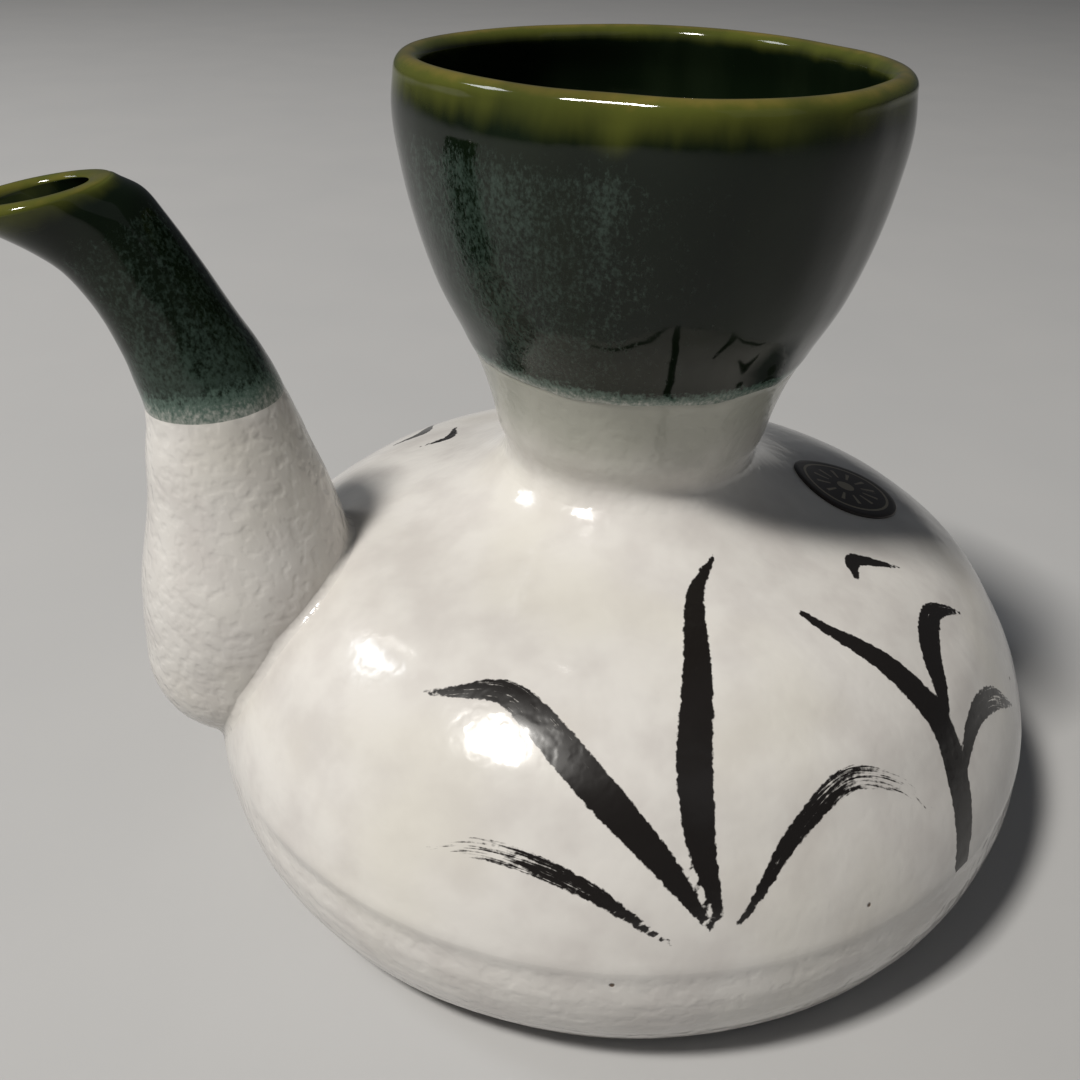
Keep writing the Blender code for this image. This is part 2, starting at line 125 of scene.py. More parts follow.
# Brush strokes on the dome, a clump of reeds and a flowering stem. Each stroke is a list of
# (direction in degrees, height, half-width), then how dry the brush is from 0 to 1.
STROKES = [
    ([(-95, 30, 0.5), (-101, 39, 2.0), (-110, 47, 2.6), (-122, 52, 2.1), (-135, 50, 0.2)], 0.35),
    ([(-94, 31, 0.6), (-96, 42, 2.3), (-95, 51, 2.5), (-89, 58, 1.5), (-78, 61, 0.2)], 0.15),
    ([(-92, 30, 0.4), (-85, 39, 1.4), (-76, 43.5, 1.8), (-68, 40, 1.1), (-63, 33, 0.1)], 0.8),
    ([(-99, 28, 0.3), (-109, 35, 1.3), (-121, 37, 1.4), (-132, 32, 0.1)], 0.9),
    ([(-60, 24, 1.9), (-58, 34, 2.7), (-57, 43, 2.6), (-60, 51, 2.1), (-67, 56, 0.7)], 0.1),
    ([(-57, 42, 0.5), (-50, 49, 2.2), (-41, 51, 1.8), (-34, 48, 0.1)], 0.3),
    ([(-58, 35, 0.4), (-50, 40, 1.9), (-42, 39, 2.1), (-35, 33, 0.1)], 0.5),
    ([(-47, 56, 0.5), (-41, 56.5, 1.5), (-35, 54.5, 0.3)], 0.1),
    ([(122, 52, 0.4), (130, 54, 1.4), (138, 53, 0.2)], 0.2),
    ([(126, 56, 0.3), (134, 57, 1.1), (141, 56, 0.2)], 0.2),
]
STROKE_STEPS = 22             # straight pieces in each stretch of a stroke
STROKE_APART = 40             # added to the offset across each next stroke, so their grain differs
FAR_OUTSIDE = -9.0            # depth inside a stroke of a point that is near none

# Colours of the glazes, the ink, the bare clay, the label, the floor and the light.
OFF_WHITE, GREYER_WHITE, CREAM = (0.71, 0.685, 0.65), (0.63, 0.60, 0.57), (0.66, 0.63, 0.55)
PINHOLE, STAIN, INK = (0.10, 0.065, 0.04), (0.42, 0.31, 0.20), (0.012, 0.010, 0.009)
# Grey-green of the neck below the cup glaze: partly copper flashing, partly painted shade under the
# cup's overhang.
COPPER_TINT_AND_SHADE = (0.36, 0.37, 0.31)
DARK_CLAY, PALE_CLAY = (0.40, 0.31, 0.22), (0.52, 0.43, 0.33)
AMBER, OLIVE, GREEN_BLACK = (0.15, 0.12, 0.026), (0.078, 0.087, 0.015), (0.004, 0.008, 0.0035)
DARK_GREEN, FROST_GREEN = (0.014, 0.022, 0.010), (0.043, 0.067, 0.053)
EDGE_TEAL, EDGE_WHITE = (0.095, 0.145, 0.118), (0.50, 0.50, 0.46)
BLACK_PAPER, BROWN_PAPER, PRINT = (0.020, 0.014, 0.012), (0.040, 0.028, 0.022), (0.42, 0.37, 0.27)
FLOOR_GREY, FLOOR_PALE = (0.44, 0.44, 0.44), (0.48, 0.475, 0.47)
WARM_LIGHT, COOL_LIGHT, SKY = (1.0, 0.97, 0.92), (0.93, 0.96, 1.0), (0.84, 0.90, 1.0)

# The camera as a scratch fit of the photo's outline gave it, in millimetres and degrees.
CAMERA_PLACE = (-52.8, -175.6, 153.7)
CAMERA_PITCH, CAMERA_ROLL, CAMERA_YAW = 30.2, -1.12, -12.0
LENS, SENSOR = 38.67, 36.0


def hermite(knots, x):
    """Value at x of a smooth curve through (x, y) knots, which holds its end values beyond them."""
    xs, ys = np.array(knots, float).T
    x = np.clip(np.asarray(x, float), xs[0], xs[-1])
    step = np.diff(xs)
    rise = np.diff(ys) / step
    inner = (step[1:] * rise[:-1] + step[:-1] * rise[1:]) / (step[1:] + step[:-1])
    tangent = np.concatenate(([rise[0]], inner, [rise[-1]]))
    i = np.clip(np.searchsorted(xs, x, side="right") - 1, 0, len(xs) - 2)
    h = step[i]
    t = (x - xs[i]) / h
    return ((1 + 2 * t) * (1 - t) ** 2 * ys[i] + t * (1 - t) ** 2 * h * tangent[i]
            + t * t * (3 - 2 * t) * ys[i + 1] + t * t * (t - 1) * h * tangent[i + 1])


def smoothstep(low, high, x):
    t = np.clip((np.asarray(x, float) - low) / (high - low), 0, 1)
    return t * t * (3 - 2 * t)


def degrees_apart(a, b):
    return (a - b + 180) % 360 - 180


def bump_at(x, middle, width):
    """1 at the middle, falling to 0 either side over about the width."""
    return np.exp(-((x - middle) / width) ** 2)


def plan_factor(angle, z):
    """How far the wall at this direction and height stands out from its circle."""
    degrees = np.degrees(angle)

    def bulges(lobes):
        return sum(size * np.cos(np.radians(count * (degrees - turn)))
                   for count, size, turn in lobes)

    body = 1 - smoothstep(BODY_ROUND_FROM, BODY_ROUND_AT, z)
    cup = np.clip((z - NECK_JOINT) / (RIM_HEIGHT - NECK_JOINT), 0, 1)
    factor = 1 + body * bulges(BODY_BULGES) + cup * bulges(CUP_BULGES)
    strength = smoothstep(CREASE_FROM, CREASE_FULL, z) / hermite(OUTLINE, z)
    for direction, depth in CREASES:
        crease = bump_at(degrees_apart(degrees, direction), 0, CREASE_WIDTH)
        factor = factor - strength * depth * crease
    return factor


def slope(z):
    """How fast the outline widens with height."""
    step = 0.05
    return (hermite(OUTLINE, z + step) - hermite(OUTLINE, z - step)) / (2 * step)


def pot_point(angle, z, depth=0.0):
    """Points on the pot, at a depth under its surface. The arguments are arrays of one shape."""
    steep = slope(z)
    length = np.hypot(1, steep)
    r = (hermite(OUTLINE, z) - depth / length) * plan_factor(angle, z)
    return np.stack([r * np.cos(angle), r * np.sin(angle), z + depth * steep / length], axis=-1)


def outside(points):
    """How far points are outside the pot's surface, square to it."""
    x, y, z = np.moveaxis(points, -1, 0)
    radius = hermite(OUTLINE, z) * plan_factor(np.arctan2(y, x), z)
    return (np.hypot(x, y) - radius) / np.hypot(1, slope(z))


def round_angles(count):
    return 2 * np.pi * np.arange(count) / count


def spout_angles(count=SPOUT_COLUMNS):
    """Angles round the spout, from its outer side, the same way round as the pot's."""
    return -round_angles(count)


def grid_normals(grid):
    """Outward normals of a grid of rows of points that close round the pot."""
    across = np.roll(grid, -1, axis=1) - np.roll(grid, 1, axis=1)
    along = np.gradient(grid, axis=0)
    normals = np.cross(across, along)
    return normals / np.linalg.norm(normals, axis=-1, keepdims=True)


def relief(grid, pebble):
    """Height of the glaze's skin over the smooth surface at each point of a grid."""
    height = np.empty(grid.shape[:-1])
    for place in np.ndindex(height.shape):
        point = Vector(grid[place])
        height[place] = (WAVE * noise.noise(point / WAVE_SIZE)
                         + pebble[place] * PEBBLE * noise.noise(point / PEBBLE_SIZE))
    return height


def pebble_of(angle, z):
    """How strong the orange peel is: most low on the body and on its right side."""
    degrees = np.degrees(angle)
    low = 1 - smoothstep(14, 34, z)
    right = bump_at(degrees_apart(degrees, -25), 0, 45) * (1 - smoothstep(45, 58, z))
    return 0.1 + 0.5 * low + 0.5 * right


def base_crease(angle, z):
    """Height of the soft step where the foot turns under, strongest at the front left.

    Faint rings from trimming on the wheel run round the foot under it.
    """
    degrees = np.degrees(angle)
    strong = 0.35 + 0.65 * bump_at(degrees_apart(degrees, -140), 0, 50)
    clear = smoothstep(20, 34, np.abs(degrees_apart(degrees, 180)))
    ridge = 0.30 * bump_at(z, BASE_JOINT + 0.8, 1.8) - 0.32 * bump_at(z, BASE_JOINT - 2.2, 2.0)
    below = smoothstep(3, 6, z) * (1 - smoothstep(17, 21, z))
    trimming = 0.05 * np.sin(z * 2.3 + 0.6 * np.sin(angle)) * below
    return strong * clear * ridge + trimming


def skin(heights):
    """Rows of the pot's outer surface with its relief, at these heights."""
    angle, z = np.meshgrid(round_angles(COLUMNS), heights)
    grid = pot_point(angle, z)
    height = relief(grid, pebble_of(angle, z)) + base_crease(angle, z)
    height *= smoothstep(0, 3, z)
    return grid + grid_normals(grid) * height[..., None]


def spread(low, high, row):
    """Heights from low to high, evenly spaced along the outline."""
    z = np.linspace(low, high, 400)
    run = np.concatenate(([0], np.cumsum(np.hypot(np.diff(z), np.diff(hermite(OUTLINE, z))))))
    count = max(2, int(run[-1] / row) + 1)
    return np.interp(np.linspace(0, run[-1], count), run, z)


def pot_rows(heights, depth):
    """Smooth rows of the pot at these heights, at a depth under its surface."""
    angle, z = np.meshgrid(round_angles(COLUMNS), np.asarray(heights, float))
    return pot_point(angle, z, depth)


def piece(node, grid, look, closed=True, seams=None):
    """A closed body skinned over a grid of rows, which stands for the CAD node of its name.

    closed joins the last row to the first. Otherwise a flat face covers each end. seams maps
    the number of a row to the normals it shows, so that a neighbour's surface runs on from it.
    """
    rows, columns = grid.shape[:2]
    index = np.arange(rows * columns).reshape(rows, columns)
    lower = index if closed else index[:-1]
    upper = np.roll(index, -1, axis=0) if closed else index[1:]
    quads = np.stack([lower, np.roll(lower, -1, axis=1), np.roll(upper, -1, axis=1), upper], axis=-1)
    quads = quads.reshape(-1, 4)
    faces = quads.tolist()
    if not closed:
        faces += [index[0][::-1].tolist(), index[-1].tolist()]
    a, b, c, d = np.moveaxis(grid.reshape(-1, 3)[quads], 1, 0)
    volume = np.einsum("ij,ij->", a, np.cross(b, c + d))
    if volume < 0:
        faces = [face[::-1] for face in faces]
    mesh = bpy.data.meshes.new(node)
    mesh.from_pydata((grid.reshape(-1, 3) * MM).tolist(), [], faces)
    mesh.update()
    made = bpy.data.objects.new(node, mesh)
    bpy.context.scene.collection.objects.link(made)
    mesh.shade_smooth()
    if seams:
        normals = np.array([v.vector for v in mesh.vertex_normals])
        for row, shown in seams.items():
            normals[index[row]] = shown
        mesh.normals_split_custom_set_from_vertices(normals.tolist())
    mesh.materials.append(look)
    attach(made, "root")
    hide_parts(node)
    return made


def paint(made, name, values):
    """Gives a piece one number at each vertex, for its material to read."""
    field = made.data.attributes.new(name, "FLOAT", "POINT")
    field.data.foreach_set("value", np.asarray(values, np.float32).ravel())


def wall_piece(node, low, high, look, row=ROW):
    """A ring of the pot's wall, whose surface runs on smoothly into its neighbours'.

    Returns the piece and its grid of points.
    """
    heights = spread(low, high, row)
    longer = skin(np.concatenate(([low - SEAM_STEP], heights, [high + SEAM_STEP])))
    normals = grid_normals(longer)[1:-1]
    outer = longer[1:-1]
    inner = pot_rows(spread(low, high, COARSE_ROW)[::-1], WALL)
    grid = np.concatenate([outer, inner])
    seams = {0: normals[0], len(outer) - 1: normals[-1]}
    return piece(node, grid, look, seams=seams), grid


def spout_point(section, angle, depth=0.0):
    """Points on the spout, at a depth under its surface. Section -1 is the bulb's lowest point."""
    along = np.maximum(section, 0.0)
    reach, z, wide, deep, tilt = (
        hermite([(i, row[k]) for i, row in enumerate(SPOUT)], along) for k in range(5))
    tilt = np.radians(tilt)
    sweep = -np.minimum(section, 0.0) * np.pi / 2
    z = z - (SPOUT_BULB_DROP - depth) * np.sin(sweep)
    wide = (wide - depth) * np.cos(sweep)
    deep = (deep - depth) * np.cos(sweep)
    reach = reach + wide * np.cos(angle) * np.cos(tilt)
    return np.stack([-reach, deep * np.sin(angle), z - wide * np.cos(angle) * np.sin(tilt)], axis=-1)


def spout_root(angle, depth, clearance):
    """The section at each angle where the spout's surface comes out of the pot."""
    low, high = np.full(angle.shape, -1.0), np.full(angle.shape, 4.0)
    for _ in range(HALVINGS):
        middle = (low + high) / 2
        buried = outside(spout_point(middle, angle, depth)) < clearance
        low, high = np.where(buried, middle, low), np.where(buried, high, middle)
    return high


def spout_rows(first, last, depth):
    """Rows of the spout from one section to another, both included."""
    count = max(2, round(abs(last - first) * SPOUT_ROWS) + 1)
    section, angle = np.meshgrid(np.linspace(first, last, count), spout_angles(), indexing="ij")
    return spout_point(section, angle, depth)


def spout_root_rows(depth, rows):
    """Rows from the spout's root seam up to the section ROOT_RUN, without that one."""
    angle = spout_angles()
    root = spout_root(angle, depth, -ROOT_SUNK)
    share = np.arange(rows)[:, None] / rows
    section = root + (ROOT_RUN - root) * share
    return spout_point(section, np.broadcast_to(angle, section.shape), depth)


def spout_lip(depth, outer, inner, rows):
    """Rows over the spout's rounded lip, from one depth in the wall to the other.

    The lip stands highest on the pouring side and melts into the spout's back.
    """
    last = len(SPOUT) - 1
    tilt = math.radians(SPOUT[-1][4])
    up = np.array([-math.sin(tilt), 0, math.cos(tilt)]) * (SPOUT_LIP - depth)
    middle, half = (outer + inner) / 2, (inner - outer) / 2
    made = []
    angle = spout_angles()
    share = 0.6 + 0.4 * np.cos(angle)
    for turn in np.pi * np.arange(1, rows + 1) / (rows + 1):
        row = spout_point(np.full(angle.shape, float(last)), angle, middle - half * math.cos(turn))
        made.append(row + share[:, None] * up * math.sin(turn))
    return np.array(made)


def cup_lip(depth, rows):
    """Rows over the cup's round lip, from outside to inside, at a depth under its surface."""
    radius, middle = WALL / 2 - depth, OUTLINE[-1][1] - WALL / 2
    angle = round_angles(COLUMNS)
    made = []
    for turn in np.pi * np.arange(1, rows + 1) / (rows + 1):
        r = (middle + radius * math.cos(turn)) * plan_factor(angle, np.full(angle.shape, LIP_START))
        z = np.full(angle.shape, LIP_START + radius * math.sin(turn))
        made.append(np.stack([r * np.cos(angle), r * np.sin(angle), z], axis=-1))
    return np.array(made)


class Look:
    """A material made of nodes, with one Principled shader and short ways to feed it."""

    def __init__(self, name):
        self.material = bpy.data.materials.new(name)
        self.material.use_nodes = True
        self.tree = self.material.node_tree
        self.shader = self.tree.nodes["Principled BSDF"]
        place = self.node("ShaderNodeTexCoord").outputs["Object"]
        scale = self.node("ShaderNodeVectorMath", operation="SCALE")
        self.tree.links.new(place, scale.inputs[0])
        scale.inputs["Scale"].default_value = 1 / MM
        self.place = scale.outputs[0]

    def node(self, kind, **settings):
        made = self.tree.nodes.new(kind)
        for name, value in settings.items():
            setattr(made, name, value)
        return made

    def feed(self, socket, value):
        if isinstance(value, bpy.types.NodeSocket):
            self.tree.links.new(value, socket)
        elif isinstance(value, tuple):
            socket.default_value = (*value, 1)
        else:
            socket.default_value = value

    def field(self, name):
        """The number that paint gave each vertex under this name."""
        return self.node("ShaderNodeAttribute", attribute_name=name).outputs["Fac"]

    def height(self):
        made = self.node("ShaderNodeSeparateXYZ")
        self.feed(made.inputs[0], self.place)
        return made.outputs["Z"]

    def stretched(self, x, y, z):
        """Places for a texture, which a factor under 1 draws out along that axis."""
        made = self.node("ShaderNodeVectorMath", operation="MULTIPLY")
        self.feed(made.inputs[0], self.place)
        made.inputs[1].default_value = (x, y, z)
        return made.outputs[0]

    def noise(self, size, detail=2.0, place=None, roughness=0.5):
        """Noise with features of about this size in millimetres."""
        made = self.node("ShaderNodeTexNoise")
        self.feed(made.inputs["Vector"], place or self.place)
        made.inputs["Scale"].default_value = 1 / size
        made.inputs["Detail"].default_value = detail
        made.inputs["Roughness"].default_value = roughness
        return made.outputs["Fac"]

    def math(self, operation, a, b=0.0):
        made = self.node("ShaderNodeMath", operation=operation)
        self.feed(made.inputs[0], a)
        self.feed(made.inputs[1], b)
        return made.outputs[0]

    def between(self, value, low, high):
        """0 below low and 1 above high, with a smooth step between. low may be above high."""
        made = self.node("ShaderNodeMapRange", interpolation_type="SMOOTHSTEP")
        self.feed(made.inputs["Value"], value)
        self.feed(made.inputs["From Min"], low)
        self.feed(made.inputs["From Max"], high)
        return made.outputs["Result"]

    def mix(self, factor, a, b):
        made = self.node("ShaderNodeMix", data_type="RGBA")
        self.feed(made.inputs["Factor"], factor)
        self.feed(made.inputs[6], a)
        self.feed(made.inputs[7], b)
        return made.outputs[2]

    def spots(self, size, chosen_from, chosen_full):
        """Distance from scattered spots, and which of the spots are chosen."""
        made = self.node("ShaderNodeTexVoronoi")
        self.feed(made.inputs["Vector"], self.place)
        made.inputs["Scale"].default_value = 1 / size
        return made.outputs["Distance"], self.between(made.outputs["Color"], chosen_from, chosen_full)

    def bump(self, height, distance, strength=1.0, under=None):
        made = self.node("ShaderNodeBump")
        self.feed(made.inputs["Height"], height)
        made.inputs["Distance"].default_value = distance * MM
        self.feed(made.inputs["Strength"], strength)
        if under:
            self.feed(made.inputs["Normal"], under)
        return made.outputs["Normal"]

    def finish(self, colour, roughness, normal):
        self.feed(self.shader.inputs["Base Color"], colour)
        self.feed(self.shader.inputs["Roughness"], roughness)
        self.feed(self.shader.inputs["Normal"], normal)
        return self.material


def brush_ink(look):
    """1 where the brush strokes left ink, from the fields that say where a point lies in them."""
    depth, side = look.field("ink_depth"), look.field("ink_side")
    along, dry = look.field("ink_along"), look.field("ink_dry")
    ragged = look.math("MULTIPLY", look.math("SUBTRACT", look.noise(0.9, 3.0), 0.5), 0.9)
    inside = look.between(look.math("ADD", depth, ragged), -0.08, 0.16)
    track = look.node("ShaderNodeCombineXYZ")
    look.feed(track.inputs[0], look.math("MULTIPLY", side, 3.2))
    look.feed(track.inputs[1], look.math("MULTIPLY", along, 0.16))
    streaks = look.noise(1.0, 3.0, track.outputs[0])
    grain = look.math("MULTIPLY", look.noise(0.7, 2.0), 0.35)
    empty = look.between(look.math("ADD", look.math("ADD", streaks, grain), dry), 1.02, 1.22)
    return look.math("MULTIPLY", inside, look.math("SUBTRACT", 1.0, empty))


def white_glaze(name, peel, brushed=False, bare_foot=False, flashed_and_shaded=False):
    """Off-white glaze over clay, mottled, with dark pinholes and an orange-peel skin.

    The neck's tint turns it grey-green towards the green glaze: partly the glaze's copper colouring it
    in the kiln, partly painted shade under the cup's overhang.
    """
    look = Look(name)
    mottle = look.between(look.noise(9.0, 3.0), 0.35, 0.7)
    colour = look.mix(mottle, OFF_WHITE, GREYER_WHITE)
    warm = look.between(look.noise(31.0, 2.0), 0.5, 0.75)
    colour = look.mix(look.math("MULTIPLY", warm, 0.5), colour, CREAM)
    distance, chosen = look.spots(9.0, 0.76, 0.78)
    dot = look.math("MULTIPLY", look.between(distance, 0.055, 0.025), chosen)
    colour = look.mix(dot, colour, PINHOLE)
    distance, chosen = look.spots(24.0, 0.80, 0.84)
    ragged = look.math("ADD", distance, look.math("MULTIPLY", look.noise(1.6, 3.0), 0.07))
    stain = look.math("MULTIPLY", look.between(ragged, 0.10, 0.06), chosen)
    colour = look.mix(look.math("MULTIPLY", stain, 0.6), colour, STAIN)
    roughness = look.math("ADD", look.math("MULTIPLY", look.noise(5.0, 3.0), 0.10), 0.10)
    dimples = look.between(look.noise(1.7, 0.6), 0.22, 0.60)
    normal = look.bump(dimples, 0.15, peel)
    normal = look.bump(look.noise(7.0, 1.0), 0.25, 0.4, normal)
    normal = look.bump(dot, -0.15, 1.0, normal)
    if brushed:
        ink = brush_ink(look)
        colour = look.mix(ink, colour, INK)
        roughness = look.math("ADD", roughness, look.math("MULTIPLY", ink, 0.08))
    # Grey-green neck tint: partly copper flashing, partly painted shade cast by the cup.
    if flashed_and_shaded:
        wander = look.math("MULTIPLY", look.noise(8.0, 2.0), 8.0)
        near = look.between(look.math("ADD", look.height(), wander), NECK_JOINT + 3, CUP_GLAZE_LINE)
        colour = look.mix(look.math("MULTIPLY", near, 0.8), colour, COPPER_TINT_AND_SHADE)
    if bare_foot:
        wander = look.math("MULTIPLY", look.noise(6.0, 2.0), 1.4)
        bare = look.between(look.math("ADD", look.height(), wander), 1.5, 1.2)
        clay = look.mix(look.noise(0.8, 4.0), DARK_CLAY, PALE_CLAY)
        colour = look.mix(bare, colour, clay)
        roughness = look.math("ADD", roughness, look.math("MULTIPLY", bare, 0.65))
    return look.finish(colour, roughness, normal)


def green_glaze(name):
    """Copper-green glaze: amber where it is thin on a lip, near black where thick, and frosted."""
    look = Look(name)
    tongues = look.noise(5.0, 3.0, look.stretched(1, 1, 0.3))
    ragged = look.math("MULTIPLY", look.math("SUBTRACT", tongues, 0.5), 4.0)
    lip = look.math("ADD", look.field("from_lip"), ragged)
    crest = look.math("ADD", look.field("from_lip"), look.math("MULTIPLY", look.noise(3.0, 3.0), 1.6))
    colour = look.mix(look.between(crest, 0.4, 1.9), AMBER, OLIVE)
    colour = look.mix(look.between(lip, 0.8, 6.2), colour, GREEN_BLACK)
    cloud = look.between(look.noise(13.0, 3.0, look.stretched(1, 1, 0.35)), 0.42, 0.68)
    colour = look.mix(look.math("MULTIPLY", cloud, 0.35), colour, DARK_GREEN)
    grains = look.noise(0.65, 2.0, look.stretched(1, 1, 0.75), 0.7)
    patches = look.noise(2.2, 4.0, look.stretched(1, 1, 0.3), 0.65)
    frost = look.math("ADD", look.math("MULTIPLY", patches, 0.45), look.field("frost"))
    speckle = look.between(look.math("ADD", grains, frost), 0.98, 1.42)
    colour = look.mix(look.math("MULTIPLY", speckle, 0.85), colour, FROST_GREEN)
    fade = look.math("ADD", look.field("fade"), grains)
    colour = look.mix(look.between(fade, 0.9, 1.35), colour, EDGE_TEAL)
    colour = look.mix(look.between(fade, 1.25, 1.95), colour, EDGE_WHITE)
    roughness = look.math("ADD", look.math("MULTIPLY", speckle, 0.10), 0.07)
    normal = look.bump(look.noise(6.0, 2.0), 0.10, 0.5)
    normal = look.bump(speckle, 0.03, 0.4, normal)
    look.shader.inputs["IOR"].default_value = 1.36
    return look.finish(colour, roughness, normal)


def label_look():
    """Dark paper with a pale printed ring and a plain pattern of rays."""
    look = Look("label_print")
    out = look.field("from_middle")
    turn = look.field("turn")
    dark = look.mix(look.noise(0.6, 3.0), BLACK_PAPER, BROWN_PAPER)
    ring = look.math("MULTIPLY", look.between(out, 7.7, 7.8), look.between(out, 8.3, 8.2))
    rays = look.between(look.math("SINE", look.math("MULTIPLY", turn, 12.0)), 0.72, 0.8)
    band = look.math("MULTIPLY", look.between(out, 3.2, 3.3), look.between(out, 6.2, 6.1))
    middle = look.between(out, 1.7, 1.6)
    marks = look.math("MAXIMUM", look.math("MAXIMUM", ring, look.math("MULTIPLY", rays, band)), middle)
    colour = look.mix(look.math("MULTIPLY", marks, 0.75), dark, PRINT)
    normal = look.bump(look.noise(0.5, 3.0), 0.03, 0.5)
    return look.finish(colour, 0.38, normal)


def stroke_line(points):
    """Points and half-widths along a brush stroke, on a smooth curve through its own points."""
    count = (len(points) - 1) * STROKE_STEPS + 1
    t = np.linspace(0, len(points) - 1, count)
    degrees, z, half = (
        hermite([(i, point[k]) for i, point in enumerate(points)], t) for k in range(3))
    return pot_point(np.radians(degrees), z), half


def ink_fields(points):
    """For each point: depth inside the nearest stroke, offset across it, run along it, dryness."""
    depth = np.full(len(points), FAR_OUTSIDE)
    side, along, dryness = np.zeros((3, len(points)))
    for number, (knots, dry) in enumerate(STROKES):
        line, half = stroke_line(knots)
        run = np.concatenate(([0], np.cumsum(np.linalg.norm(np.diff(line, axis=0), axis=1))))
        near = np.flatnonzero(np.linalg.norm(points - line.mean(0), axis=1) < run[-1] * 0.6 + 9)
        best = np.full(len(near), FAR_OUTSIDE)
        best_side, best_along = np.zeros((2, len(near)))
        for i in range(len(line) - 1):
            a, b = line[i], line[i + 1]
            t = np.clip((points[near] - a) @ (b - a) / ((b - a) @ (b - a)), 0, 1)
            offset = points[near] - (a + t[:, None] * (b - a))
            distance = np.linalg.norm(offset, axis=1)
            inside = half[i] + t * (half[i + 1] - half[i]) - distance
            across = np.cross(b - a, a)
            better = inside > best
            best = np.where(better, inside, best)
            best_side = np.where(better, np.copysign(distance, offset @ across), best_side)
            best_along = np.where(better, run[i] + t * (run[i + 1] - run[i]), best_along)
        won = best > depth[near]
        chosen = near[won]
        depth[chosen] = best[won]
        side[chosen] = best_side[won] + STROKE_APART * number
        along[chosen] = best_along[won]
        spent = smoothstep(0.2, 0.9, best_along[won] / run[-1])
        dryness[chosen] = dry * (0.25 + 0.75 * spent) * 0.75
    return depth, side, along, dryness


def build_foot(look):
    top = BASE_JOINT - SLIP / 2
    heights = spread(0, top, ROW)
    longer = skin(np.concatenate((heights, [top + SEAM_STEP])))
    normals = grid_normals(longer)[:-1]
    outer = longer[:-1]
    underside = [outer[0] * share for share in UNDERSIDE_RINGS]
    inner = pot_rows(spread(INNER_WALL_FROM, top, COARSE_ROW)[::-1], WALL)
    angle = round_angles(COLUMNS)
    floor = []
    for radius, z in FLOOR:
        r = radius * plan_factor(angle, np.full(angle.shape, z))
        floor.append(np.stack([r * np.cos(angle), r * np.sin(angle), np.full(angle.shape, z)], axis=-1))
    grid = np.concatenate([underside, outer, inner, floor])
    seam = len(underside) + len(outer) - 1
    return piece("base_dish", grid, look, closed=False, seams={seam: normals[-1]})


def build_dome(look):
    low, high = BASE_JOINT + SLIP / 2, NECK_JOINT - SLIP / 2
    made, grid = wall_piece("dome", low, high, look)
    names = ("ink_depth", "ink_side", "ink_along", "ink_dry")
    for name, values in zip(names, ink_fields(grid.reshape(-1, 3))):
        paint(made, name, values)
    return made


def noise_round(angle, size, seed):
    """Smooth noise round the pot, one value in each direction."""
    return np.array([noise.noise(Vector((size * math.cos(a), size * math.sin(a), seed))) for a in angle])


def glaze_edge(angle):
    """Height of the green glaze's lower edge on the cup in each direction."""
    return CUP_GLAZE_LINE + EDGE_WANDER * noise_round(angle, 3, CUP_GLAZE_LINE)


def build_cup(look):
    bottom = NECK_JOINT + SLIP / 2
    heights = spread(bottom, LIP_START, ROW)
    longer = skin(np.concatenate(([bottom - SEAM_STEP], heights)))
    normals = grid_normals(longer)[1:]
    above = heights[:, None] - glaze_edge(round_angles(COLUMNS))
    depth = COVER * smoothstep(-0.4, 1.4, above)
    outer = longer[1:] - normals * depth[..., None]
    inner_heights = spread(bottom, LIP_START, COARSE_ROW / 2)[::-1]
    set_back = np.where(inner_heights > CUP_GLAZE_INSIDE, WALL - COVER, WALL)
    inner = np.concatenate([pot_rows([z], depth) for z, depth in zip(inner_heights, set_back)])
    grid = np.concatenate([outer, cup_lip(COVER, COVERED_LIP_ROWS), inner])
    return piece("cup", grid, look, seams={0: normals[0]})


def build_cup_glaze(look):
    angle = round_angles(COLUMNS)
    tucked = CUP_GLAZE_LINE - CUP_GLAZE_TUCK
    heights = spread(tucked, LIP_START, ROW * 0.8)
    surface = skin(heights)
    normals = grid_normals(surface)
    above = heights[:, None] - glaze_edge(angle)
    lift = -0.35 + 0.35 * smoothstep(-0.9, 0.5, above) + 0.12 * bump_at(above, 1.6, 1.6)
    drips = 0.10 * noise_round(angle, 6, 4.0)
    lift = lift + drips * smoothstep(2, 12, above)
    outer = surface + normals * lift[..., None]
    inner_heights = spread(CUP_GLAZE_INSIDE, LIP_START, ROW)[::-1]
    inner = pot_rows(inner_heights, WALL)
    hidden = pot_rows(spread(CUP_GLAZE_INSIDE, LIP_START, COARSE_ROW), WALL - GLAZE)
    under_lip = cup_lip(GLAZE, COVERED_LIP_ROWS)[::-1]
    hidden_out = pot_rows(spread(tucked, LIP_START, COARSE_ROW)[::-1], GLAZE)
    lip = cup_lip(0.0, LIP_ROWS)
    grid = np.concatenate([outer, lip, inner, hidden, under_lip, hidden_out])
    made = piece("cup_glaze", grid, look)
    paint_cup_glaze(made, grid, len(outer), len(inner))
    return made


